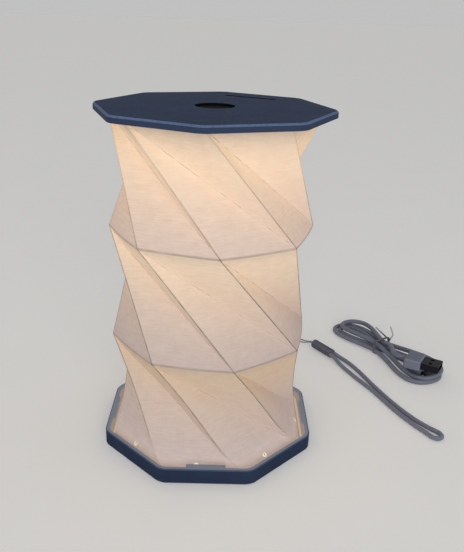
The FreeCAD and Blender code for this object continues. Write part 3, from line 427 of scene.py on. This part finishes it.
def makeStrap(sleeve):
    line, places = loopLine(sleeveMouth, sleeveHeading, cordShape)
    cord = sweep("strapCord", line, places, cordShape["ring"], braidRadius, cordBraid)
    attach(cord, "base")
    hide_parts("strap_cord")
    print("strap cord length", round(places[-1], 4))

    line, places = loopLine(sleeveTail, -sleeveHeading, threadShape)
    thread = sweep("strapThread", line, places, threadShape["ring"], plyRadius, threadBraid)
    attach(thread, "base")
    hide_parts("strap_thread")
    print("thread length", round(places[-1], 4))


makeStrap(makeSleeve())
print("cords and strap made")

# shade, in mm: eight sides, three storeys; each storey's upper ring is turned against its lower one by the folds
shadeFold = {"radius": 53.2, "storey": 57.9, "storeys": 3, "foot": 4.4, "sides": 8, "fine": 26, "sheet": 0.35,
             "closedTop": 8.4, "soften": 3, "softShare": 0.5, "softRidge": 6.0, "softRing": 8.0, "sharpAngle": 14,
             "bulgeLow": 1.3, "bulgeHigh": 0.35, "ringBow": 0.9, "bowReach": 0.22,
             "flare": 0.043, "flareHeight": 14.0, "swirl": -4.7, "swirlHeight": 13.0}
# unevenness, so that no two triangles are alike: share of the bulge, ripple in mm, and phases in radians
shadePlay = {"uneven": 0.3, "bySide": 2.3, "byStorey": 1.1, "ripple": 0.15, "up": 0.21, "upBySide": 1.7,
             "across": 9.0, "acrossByStorey": 2.1}
# the lamp's light through the paper at the foot and the head of each storey, and how far lid and rings dim it
shadeGlow = {"foot": ["#645354", "#614941", "#8e735f"], "head": ["#7f5e1a", "#af926a", "#caa87a"],
             "lidDim": 0.78, "lidLow": 0.35, "lidReach": 26.0, "ringDim": 0.3, "ringReach": 5.0,
             "hem": "#595245", "hemReach": 6.0}


# cream pulp paper with long fibres, lit from inside: warm where much light comes through, paler towards each lower
# ring; the folds carry painted shade, darker lines along the ridges and rings and faint ones in the valleys
def litPaper(flatLength):
    material, tree, shader = newMaterial("creamFibrePaper", {"Roughness": 0.85, "Specular IOR Level": 0.2})
    flat = add(tree, "UVMap", {"uv_map": "flat"}).outputs["UV"]
    light = add(tree, "Attribute", {"attribute_name": "lampLight"}).outputs["Color"]
    ridge, valley, ring, hem = [add(tree, "Attribute", {"attribute_name": name}).outputs["Fac"]
                                for name in ("ridgeMm", "valleyMm", "ringMm", "hemMm")]
    # fibres: noise drawn out along the sheet, 0.8 mm across and 9 mm long, and a cloudy pulp of 5 mm
    drawn = add(tree, "Mapping", {"Scale": (1 / (9 * mm), 1 / (0.8 * mm), 1)}, {"Vector": flat}).outputs["Vector"]
    fibre = add(tree, "TexNoise", {"Scale": 1.0, "Detail": 3.0, "Distortion": 0.6}, {"Vector": drawn}).outputs["Fac"]
    pulp = add(tree, "TexNoise", {"Scale": 1 / (5 * mm), "Detail": 6.0, "Roughness": 0.75},
               {"Vector": flat}).outputs["Fac"]
    grain = add(tree, "Math", {"operation": "MULTIPLY", 1: 0.45}, {0: fibre}).outputs[0]
    grain = add(tree, "Math", {"operation": "MULTIPLY_ADD", 1: 0.55}, {0: pulp, 2: grain}).outputs[0]
    body = add(tree, "ValToRGB", {"stops": twoTone("#c3b9b4", "#d3c9c4")}, {"Fac": grain}).outputs[0]
    # ridges fade out into the hem and under the lid; valleys show only in places
    level = add(tree, "Math", {"operation": "DIVIDE", 1: flatLength}, {0: hem}).outputs[0]
    fade = [(place, (tone, tone, tone, 1))
            for place, tone in ((0.03, 0.0), (0.09, 0.8), (0.5, 1.0), (0.75, 0.7), (1.0, 0.25))]
    ridgeFade = add(tree, "ValToRGB", {"stops": fade}, {"Fac": level}).outputs[0]
    patchy = add(tree, "TexNoise", {"Scale": 1 / (5 * mm), "Detail": 3.0}, {"Vector": flat}).outputs["Fac"]
    dashes = add(tree, "MapRange", {"From Min": 0.45, "From Max": 0.6, "To Min": 0.12, "To Max": 1.0},
                 {"Value": patchy}).outputs[0]
    foldShadeBreaks = add(tree, "MapRange", {"From Min": 0.35, "From Max": 0.6, "To Min": 0.6, "To Max": 1.0},
               {"Value": patchy}).outputs[0]
    ridgeShown = add(tree, "Math", {"operation": "MULTIPLY"}, {0: ridgeFade, 1: foldShadeBreaks}).outputs[0]
    strength = add(tree, "MapRange", {"From Min": 0.3, "From Max": 0.7, "To Min": 0.88, "To Max": 1.12},
                   {"Value": grain}).outputs[0]
    # folds, each a line of painted shade that also dims the lamp's light: half the width of each line in mm, its
    # colour, how strongly it shows and where
    folds = ((valley, 0.3, "#a3958a", 0.55, dashes), (ring, 0.75, "#8b7f76", 0.5, foldShadeBreaks),
             (ridge, 0.5, "#665a52", 0.85, ridgeShown))
    for source, width, colour, weight, shown in folds:
        share = add(tree, "MapRange", {"interpolation_type": "SMOOTHSTEP", "From Min": width * 0.2,
                                       "From Max": width * 1.5, "To Min": weight, "To Max": 0.0},
                    {"Value": source}).outputs[0]
        share = add(tree, "Math", {"operation": "MULTIPLY"}, {0: share, 1: shown}).outputs[0]
        body = add(tree, "MixRGB", {"Color2": linear(colour)}, {"Fac": share, "Color1": body}).outputs[0]
        dim = add(tree, "Math", {"operation": "SUBTRACT", 0: 1.0}, {1: share}).outputs[0]
        strength = add(tree, "Math", {"operation": "MULTIPLY"}, {0: strength, 1: dim}).outputs[0]
    bump = add(tree, "Bump", {"Strength": 0.5, "Distance": 0.12 * mm}, {"Height": grain}).outputs["Normal"]
    join(tree, shader, {"Base Color": body, "Emission Color": light, "Emission Strength": strength, "Normal": bump})
    return material


# angle of a side, and turn of a storey's upper ring against its lower one: cos(turn) = storey^2 / (2 radius^2)
def foldTurn():
    step = 2 * np.pi / shadeFold["sides"]
    return step, np.pi / 2 - np.arcsin(shadeFold["storey"] ** 2 / (2 * shadeFold["radius"] ** 2))


# length of a side, and the flat place of an upper corner over its lower one
def flatPatch():
    radius, storey = shadeFold["radius"], shadeFold["storey"]
    step, turn = foldTurn()
    side = 2 * radius * np.sin(step / 2)
    ridgeSquared = storey ** 2 + (2 * radius * np.sin(turn / 2)) ** 2
    valleySquared = storey ** 2 + (2 * radius * np.sin((turn + step) / 2)) ** 2
    shiftX = (ridgeSquared - valleySquared + side ** 2) / (2 * side)
    return side, shiftX, np.sqrt(ridgeSquared - shiftX ** 2)


# true in the lower triangle of a patch and on its valley
def lowerHalf(a, b):
    return a + b <= 1 + 1e-9


# each storey i and side j is a patch (a, b) cut by its valley into two triangles: the lower one spans the lower
# corners and the left upper one, the other spans the upper corners and the right lower one
def foldedPlace(i, j, a, b):
    step, turn = foldTurn()

    def corner(level, number):
        angle = step / 2 - level * (turn - step) + step * (number - level)
        height = shadeFold["foot"] + level * shadeFold["storey"]
        return np.stack([shadeFold["radius"] * np.cos(angle), shadeFold["radius"] * np.sin(angle), height], -1)

    lowLeft, lowRight = corner(i, j + 1), corner(i, j + 2)
    highLeft, highRight = corner(i + 1, j + 1), corner(i + 1, j + 2)
    a, b = a[..., None], b[..., None]
    low = lowerHalf(a, b)
    points = np.where(low, lowLeft + a * (lowRight - lowLeft) + b * (highLeft - lowLeft),
                      highRight + (1 - a) * (highLeft - highRight) + (1 - b) * (lowRight - highRight))
    square = np.where(low, np.cross(lowRight - lowLeft, highLeft - lowLeft),
                      np.cross(highLeft - highRight, lowRight - highRight))
    return points, square / np.linalg.norm(square, axis=-1, keepdims=True)


# valleys are soft: each point moves towards the mean of its neighbours, except at ridges and rings; then each
# triangle bows out a little: 27 times the product of its three corner shares, which is 1 in its middle
def swollenPlace(i, j, a, b, lines):
    points, square = foldedPlace(i, j, a, b)
    free = shadeFold["softShare"] * np.clip(lines["ridgeMm"] / shadeFold["softRidge"], 0, 1)
    free = free * np.clip(lines["ringMm"] / shadeFold["softRing"], 0, 1)
    for _ in range(shadeFold["soften"]):
        rows = np.pad(points, ((1, 1), (0, 0), (0, 0)), mode="edge")
        mean = (rows[:-2] + rows[2:] + np.roll(points, 1, 1) + np.roll(points, -1, 1)) / 4
        points = points + free[..., None] * (mean - points)
    low = lowerHalf(a, b)
    share = np.where(low, a * b * (1 - a - b), (1 - a) * (1 - b) * (a + b - 1)) * 27
    uneven = 1 + shadePlay["uneven"] * np.cos(j * shadePlay["bySide"] + i * shadePlay["byStorey"])
    swell = np.where(low, shadeFold["bulgeLow"], shadeFold["bulgeHigh"]) * uneven
    wave = np.sin(points[..., 2] * shadePlay["up"] + j * shadePlay["upBySide"])
    wave = wave * np.sin(a * shadePlay["across"] + i * shadePlay["acrossByStorey"] + j)
    return points + square * (np.clip(share, 0, 1) * (swell + shadePlay["ripple"] * wave))[..., None]


# the paper gives way: rings bow out between corners as 4a(1-a), the hem flares out by a square law over its height,
# and above it the folds swing round by h exp(1-h), which dies out at the first ring
def givenWay(points, i, a, b):
    fromBelow, fromAbove = (np.exp(-(t / shadeFold["bowReach"]) ** 2) for t in (b, 1 - b))
    bow = 4 * a * (1 - a) * (fromBelow * (i > 0) + fromAbove * (i < shadeFold["storeys"] - 1))
    height = points[..., 2] - shadeFold["foot"]
    flare = shadeFold["flare"] * np.clip(1 - height / shadeFold["flareHeight"], 0, 1) ** 2
    share = height / shadeFold["swirlHeight"]
    swirl = math.radians(shadeFold["swirl"]) * share * np.exp(1 - share)
    swirl = swirl * np.clip(1 - (height / shadeFold["storey"]) ** 2, 0, 1)
    angle = np.arctan2(points[..., 1], points[..., 0]) + swirl
    reach = np.hypot(points[..., 0], points[..., 1]) * (1 + flare) + shadeFold["ringBow"] * bow
    return np.stack([reach * np.cos(angle), reach * np.sin(angle), points[..., 2]], -1)


# both triangles of each quad, from what is given at its four corners
def inHalves(corners):
    return np.stack([corners[:, half] for half in ([0, 1, 3], [1, 2, 3])], 1)


# light at each corner of each triangle: between the storey's foot and head colours, less under the lid and under a
# ring, more at the hem; tall is a storey's height on the flat sheet
def lampLight(tall):
    fine, storeys, around = shadeFold["fine"], shadeFold["storeys"], shadeFold["sides"] * shadeFold["fine"]
    row, column = np.divmod(np.arange(storeys * fine * around), around)
    rise = inHalves((row % fine)[:, None] + np.array([0, 0, 1, 1])).reshape(-1, 3) / fine
    run = inHalves((column % fine)[:, None] + np.array([0, 1, 1, 0])).reshape(-1, 3) / fine
    storey = np.repeat(row // fine, 2)[:, None]
    foot, head = (np.array([linear(colour) for colour in shadeGlow[end]])[storey] for end in ("foot", "head"))
    depth = (1 - rise) * tall
    upper = ((rise + run).mean(1) > 1)[:, None]
    lidShade = np.where(upper, shadeGlow["lidDim"], shadeGlow["lidLow"])
    lidShade = lidShade * np.clip(1 - depth / shadeGlow["lidReach"], 0, 1) ** 2
    ringShade = shadeGlow["ringDim"] * np.exp(-(depth / shadeGlow["ringReach"]) ** 2) * upper
    kept = 1 - np.where(storey == storeys - 1, lidShade, ringShade)
    hem = np.exp(-(rise * tall / shadeGlow["hemReach"]) ** 2) * (storey == 0)
    light = (foot + (head - foot) * rise[..., None]) * kept[..., None]
    return light + np.array(linear(shadeGlow["hem"])) * hem[..., None]


# gives the piece a mesh of its own
def foldFlat(piece):
    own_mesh(piece)


def makeShade():
    side, shiftX, shiftY = flatPatch()
    fine, sides, storeys = shadeFold["fine"], shadeFold["sides"], shadeFold["storeys"]
    across = np.arange(sides * fine)
    up = np.arange(storeys * fine + 1)
    j, i = np.meshgrid(across // fine, np.minimum(up // fine, storeys - 1))
    a = np.broadcast_to((across % fine) / fine, j.shape)
    b = (up / fine)[:, None] - i
    # distances to the folds and to the hem on the flat sheet, in mm
    lines = {"ridgeMm": np.minimum(a, 1 - a) * side * shiftY / np.hypot(shiftX, shiftY),
             "valleyMm": np.abs(a + b - 1) * side * shiftY / np.hypot(shiftX - side, shiftY),
             "ringMm": np.minimum(b, 1 - b) * shiftY, "hemMm": (i + b) * shiftY}
    points = givenWay(swollenPlace(i, j, a, b, lines), i, a, b)
    triangles = inHalves(gridFaces(len(up), len(across))).reshape(-1, 3)
    uv = gridUv(np.arange(len(across) + 1) / fine * side, up / fine * shiftY).reshape(-1, 4, 2)
    uv[..., 0] += uv[..., 1] * shiftX / shiftY
    shade = newPiece("foldedShade", points * mm, triangles.tolist(), litPaper(storeys * shiftY),
                     inHalves(uv).reshape(-1, 2) * mm)

    layer = shade.data.attributes.new("lampLight", "FLOAT_COLOR", "CORNER")
    layer.data.foreach_set("color", lampLight(shiftY).astype(np.float32).ravel())
    for label, values in lines.items():
        layer = shade.data.attributes.new(label, "FLOAT", "POINT")
        layer.data.foreach_set("value", np.ascontiguousarray(values, np.float32).ravel())
    shade.data.set_sharp_from_angle(angle=math.radians(shadeFold["sharpAngle"]))
    wall = shade.modifiers.new("sheet", "SOLIDIFY")
    wall.thickness = shadeFold["sheet"] * mm
    wall.offset = -1
    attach(shade, "base")
    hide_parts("shade")
    foldFlat(shade)
    print("shade made:", len(triangles), "triangles")


makeShade()


# nickel-plated steel, pressed: bright, faintly brushed along its length; an eyelet also has the lamp's light in it
def platedSteel(name, colour, roughness, glowColour="#000000", glow=0.0):
    material, tree, shader = newMaterial(name, {"Metallic": 1.0, "Emission Color": linear(glowColour),
                                                "Emission Strength": glow})
    place = add(tree, "TexCoord").outputs["Object"]
    drawn = add(tree, "Mapping", {"Scale": (1 / (4 * mm), 1 / (0.5 * mm), 1 / (0.5 * mm))},
                {"Vector": place}).outputs["Vector"]
    streak = add(tree, "TexNoise", {"Scale": 1.0, "Detail": 3.0}, {"Vector": drawn}).outputs["Fac"]
    gloss = add(tree, "MapRange", {"From Min": 0.3, "From Max": 0.7, "To Min": roughness - 0.06,
                                   "To Max": roughness + 0.08}, {"Value": streak}).outputs[0]
    tarnish = [(0.35, [0.82 * part for part in linear(colour)[:3]] + [1]), (0.65, linear(colour))]
    tone = add(tree, "ValToRGB", {"stops": tarnish}, {"Fac": streak}).outputs[0]
    join(tree, shader, {"Base Color": tone, "Roughness": gloss})
    return material


brightNickel = platedSteel("brightNickelEyelet", "#f4f0e6", 0.22, "#fff3d8", 0.45)

# eyelets that hold the hem: one on each side, a little left of its middle by its own share; sizes in mm
eyelets = {"ring": 0.95, "wire": 0.42, "along": [0.42, 0.42, 0.42, 0.455, 0.44, 0.415, 0.42, 0.42], "up": 0.034,
           "around": 20, "section": 10}


# ring of round section: a circle of radius wire carried round a circle of radius ring that lies on the paper
def makeEyelets():
    j = np.arange(shadeFold["sides"])
    along, up = np.array(eyelets["along"]), eyelets["up"] + 0.0 * j
    nudge = 0.01  # a short way along the paper, for its two directions

    def onPaper(a, b):
        return givenWay(foldedPlace(0 * j, j, a, b)[0], 0 * j, a, b)

    middle = onPaper(along, up)
    ahead = onPaper(along + nudge, up) - middle
    out = np.cross(ahead, onPaper(along, up + nudge) - middle)
    ahead, out = (vector / np.linalg.norm(vector, axis=1, keepdims=True) for vector in (ahead, out))
    over = np.cross(out, ahead)
    around, section = eyelets["around"], eyelets["section"]
    angles = [np.arange(count) * 2 * np.pi / count for count in (around, section)]
    u, v = np.meshgrid(*angles, indexing="ij")
    reach = eyelets["ring"] + eyelets["wire"] * np.cos(v)
    points = middle[:, None, None, :]
    for axis, amount in ((ahead, reach * np.cos(u)), (over, reach * np.sin(u)), (out, eyelets["wire"] * np.sin(v))):
        points = points + axis[:, None, None, :] * amount[None, :, :, None]
    quads = gridFaces(around + 1, section) % (around * section)
    faces = (quads[None] + j[:, None, None] * around * section).reshape(-1, 4)
    piece = newPiece("hemEyelets", points * mm, faces.tolist(), brightNickel)
    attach(piece, "base")
    foldFlat(piece)


makeEyelets()
print("eyelets made")


# milky plastic, white PET sheet or film: smooth, slightly cloudy, lit from behind or beside by the lamp
def milkySheet(name, dark, light, glow):
    lampTint = (1.0, 0.74, 0.55, 1)  # linear
    material, tree, shader = newMaterial(name, {"Roughness": 0.4, "Emission Color": lampTint,
                                                "Emission Strength": glow})
    place = add(tree, "TexCoord").outputs["Object"]
    cloud = add(tree, "TexNoise", {"Scale": 1 / (12 * mm), "Detail": 3.0}, {"Vector": place}).outputs["Fac"]
    body = add(tree, "ValToRGB", {"stops": twoTone(dark, light)}, {"Fac": cloud}).outputs[0]
    join(tree, shader, {"Base Color": body})
    return material


# solder mask over glass cloth: the 0.5 mm weave shows through as faint squares
def solderMask():
    material, tree, shader = newMaterial("greenSolderMask", {"Roughness": 0.3})
    place = add(tree, "TexCoord").outputs["Object"]
    squares = {"Scale": 1 / (0.5 * mm), "Color1": linear("#1d5a35"), "Color2": linear("#1a5230")}
    weave = add(tree, "TexChecker", squares, {"Vector": place}).outputs["Color"]
    join(tree, shader, {"Base Color": weave})
    return material


# EVA foam sheet: closed cells of 0.8 mm, matt
def foamSheet():
    material, tree, shader = newMaterial("blackEvaFoam", {"Roughness": 0.9})
    place = add(tree, "TexCoord").outputs["Object"]
    cells = add(tree, "TexVoronoi", {"Scale": 1 / (0.8 * mm)}, {"Vector": place}).outputs["Distance"]
    body = add(tree, "ValToRGB", {"stops": twoTone("#15161a", "#2a2b30", (0.0, 1.0))}, {"Fac": cells}).outputs[0]
    bump = add(tree, "Bump", {"Strength": 0.4, "Distance": 0.1 * mm}, {"Height": cells}).outputs["Normal"]
    join(tree, shader, {"Base Color": body, "Normal": bump})
    return material


# paper-coated tie wire: a dull grey coat, rubbed off towards the free ends, where the bare wire is bright;
# the coat goes between two distances from the waist, in mm across the hank
def tieWire(coatEnd, bareStart):
    material, tree, shader = newMaterial("coatedTieWire", {"Roughness": 0.5})
    place = add(tree, "TexCoord").outputs["Object"]
    turn = math.radians(hank["angle"])
    across = (-math.sin(turn), math.cos(turn), 0)
    far = add(tree, "VectorMath", {"operation": "DOT_PRODUCT", 1: across}, {0: place}).outputs["Value"]
    middle = np.dot(across[:2], hank["place"])
    rubbing = add(tree, "TexNoise", {"Scale": 1 / (1.5 * mm), "Detail": 3.0}, {"Vector": place}).outputs["Fac"]
    bare = add(tree, "MapRange", {"From Min": (middle + coatEnd) * mm, "From Max": (middle + bareStart) * mm,
                                  "To Min": 0.0, "To Max": 0.8}, {"Value": far}).outputs[0]
    bare = add(tree, "Math", {"operation": "MULTIPLY_ADD", 1: 0.3}, {0: rubbing, 2: bare}).outputs[0]
    coat = [(0.15, linear("#5d606c")), (0.35, linear("#737681")), (0.85, linear("#c9c2c4"))]
    body = add(tree, "ValToRGB", {"stops": coat}, {"Fac": bare}).outputs[0]
    bump = add(tree, "Bump", {"Strength": 0.3, "Distance": 0.05 * mm}, {"Height": rubbing}).outputs["Normal"]
    join(tree, shader, {"Base Color": body, "Normal": bump})
    return material


# light inside the tray's rim, in mm from the middle and from the table; a face looks outward where its normal
# times its place is more than outward
rimLight = {"lips": 54.4, "full": 55.5, "gone": 56.1, "outward": 20.0, "low": 4.0, "high": 8.6,
            "warm": "#978473", "cool": "#6c6c71"}
# hole and slot of the lid lie within reach, in mm from the middle; inside it the upright walls get painted shade,
# outside it a paler painted highlight
lidWallShading = {"reach": 48.0, "side": "#3b4864", "inside": "#07080b"}
navyAbs = mouldedAbs("navyMouldedAbs", "#2a3856", "#324260", "#61769c", 0.68, 1.1 * mm)
lidAbs = mouldedAbs("navyMouldedAbsLid", "#2a3856", "#324260", "#6c81a5", 0.68, 1.1 * mm, wallShading=lidWallShading)
trayAbs = mouldedAbs("navyMouldedAbsTray", "#29354f", "#313e58", "#4f5f7c", 0.68, 1.1 * mm, lit=rimLight)
blackAbs = mouldedAbs("blackMouldedAbs", "#08080b", "#0d0d11", "#131318", 0.85, 0.9 * mm)
plugTpe = mouldedAbs("greyPlugTpe", "#7a7f93", "#868b9f", "#8f94a8", 0.6, 0.8 * mm)
steel = platedSteel("nickelPlatedSteel", "#8d8e93", 0.3)
darkSteel = platedSteel("darkPlatedSteel", "#2c2c32", 0.38)
foilPouch = platedSteel("aluminiumFoilPouch", "#b9bcc0", 0.4)
whitePet = milkySheet("whitePetSheet", "#c4b9b0", "#d0c5bc", 0.28)
milkyCap = milkySheet("milkyPolycarbonate", "#dcd6cc", "#e9e4dc", 0.5)
amberFilm = milkySheet("amberPolyimide", "#a4611f", "#b8722b", 0.0)
ledResin = milkySheet("yellowLedResin", "#e8c64a", "#f4d865", 0.8)
tieCoat = tieWire(7.6, 8.8)

finishes = {
    trayAbs: ["base_tray"], lidAbs: ["lid_shell"], navyAbs: ["bottom_cover", "lid_liner", "power_button"],
    blackAbs: ["hang_disc", "tact_switch", "usb_a_tongue"], plugTpe: ["usb_a_grip", "micro_usb_grip"],
    steel: ["cover_screws", "usb_socket", "base_magnets", "lid_magnets"],
    darkSteel: ["usb_a_shell", "micro_usb_shell"], foilPouch: ["battery_cell"], amberFilm: ["battery_lead"],
    whitePet: ["reflector_sheet"], milkyCap: ["diffuser_cap"], ledResin: ["leds"], tieCoat: ["cable_tie"],
    solderMask(): ["led_board", "control_board"], foamSheet(): ["foot_pad"]}
for finish, names in finishes.items():
    for name in names:
        for holder in nodes[name].material_slots:
            holder.material = finish
print("finishes set:", sum(len(names) for names in finishes.values()), "nodes")

# studio: pale floor, even world light, one large soft key and a weaker fill; sizes in metres, spread in degrees;
# the key is narrowed so that the floor in front of it stays grey
studio = {"floor": ("#ecebe8", "#efeeeb"), "floorReach": 12.0, "floorLift": 0.2, "world": 0.38, "background": 0.53,
          "aim": (0, 0, 0.09),
          "key": {"power": 2.34, "size": 0.9, "spread": 100, "spot": (0.2, -1.4, 0.42)},
          "fill": {"power": 0.7, "size": 1.2, "spread": 180, "spot": (-0.8, -0.9, 1.0)}}
white = (1, 1, 1, 1)


# 1 where the camera looks, straight, in a mirror or through glass: lifts floor and background without lighting
# the lamp
def seen(tree):
    rays = add(tree, "LightPath").outputs
    straight = add(tree, "Math", {"operation": "MAXIMUM"},
                   {0: rays["Is Camera Ray"], 1: rays["Is Glossy Ray"]}).outputs[0]
    return add(tree, "Math", {"operation": "MAXIMUM"}, {0: straight, 1: rays["Is Transmission Ray"]}).outputs[0]


# painted floor: matt, faintly mottled, never quite white
def makeFloor():
    material, tree, shader = newMaterial("paintedFloor", {"Roughness": 0.8, "Specular IOR Level": 0.15,
                                                          "Emission Color": white})
    place = add(tree, "TexCoord").outputs["Object"]
    mottle = add(tree, "TexNoise", {"Scale": 1 / (60 * mm), "Detail": 4.0}, {"Vector": place}).outputs["Fac"]
    body = add(tree, "ValToRGB", {"stops": twoTone(*studio["floor"])}, {"Fac": mottle}).outputs[0]
    lift = add(tree, "Math", {"operation": "MULTIPLY", 1: studio["floorLift"]}, {0: seen(tree)}).outputs[0]
    join(tree, shader, {"Base Color": body, "Emission Strength": lift})
    reach = studio["floorReach"]
    corners = [(x * reach, y * reach, 0) for x, y in ((-1, -1), (1, -1), (1, 1), (-1, 1))]
    mesh = bpy.data.meshes.new("floor")
    mesh.from_pydata(corners, [], [(0, 1, 2, 3)])
    mesh.materials.append(material)
    floor = bpy.data.objects.new("floor", mesh)
    bpy.context.scene.collection.objects.link(floor)


def makeLight():
    world = bpy.data.worlds.new("studio")
    bpy.context.scene.world = world
    world.use_nodes = True
    tree = world.node_tree
    tree.nodes.clear()
    power = add(tree, "MapRange", {"To Min": studio["world"], "To Max": studio["background"]},
                {"Value": seen(tree)}).outputs[0]
    light = add(tree, "Background", {"Color": white}, {"Strength": power}).outputs[0]
    add(tree, "OutputWorld", {}, {"Surface": light})

    for name in ("key", "fill"):
        data = bpy.data.lights.new(name, "AREA")
        data.energy = studio[name]["power"]
        data.size = studio[name]["size"]
        data.spread = math.radians(studio[name]["spread"])
        lamp = bpy.data.objects.new(name, data)
        lamp.location = studio[name]["spot"]
        lamp.rotation_euler = (Vector(studio["aim"]) - lamp.location).to_track_quat("-Z", "Y").to_euler()
        bpy.context.scene.collection.objects.link(lamp)


makeFloor()
makeLight()
bpy.context.scene.view_settings.view_transform = "Standard"
print("studio set")
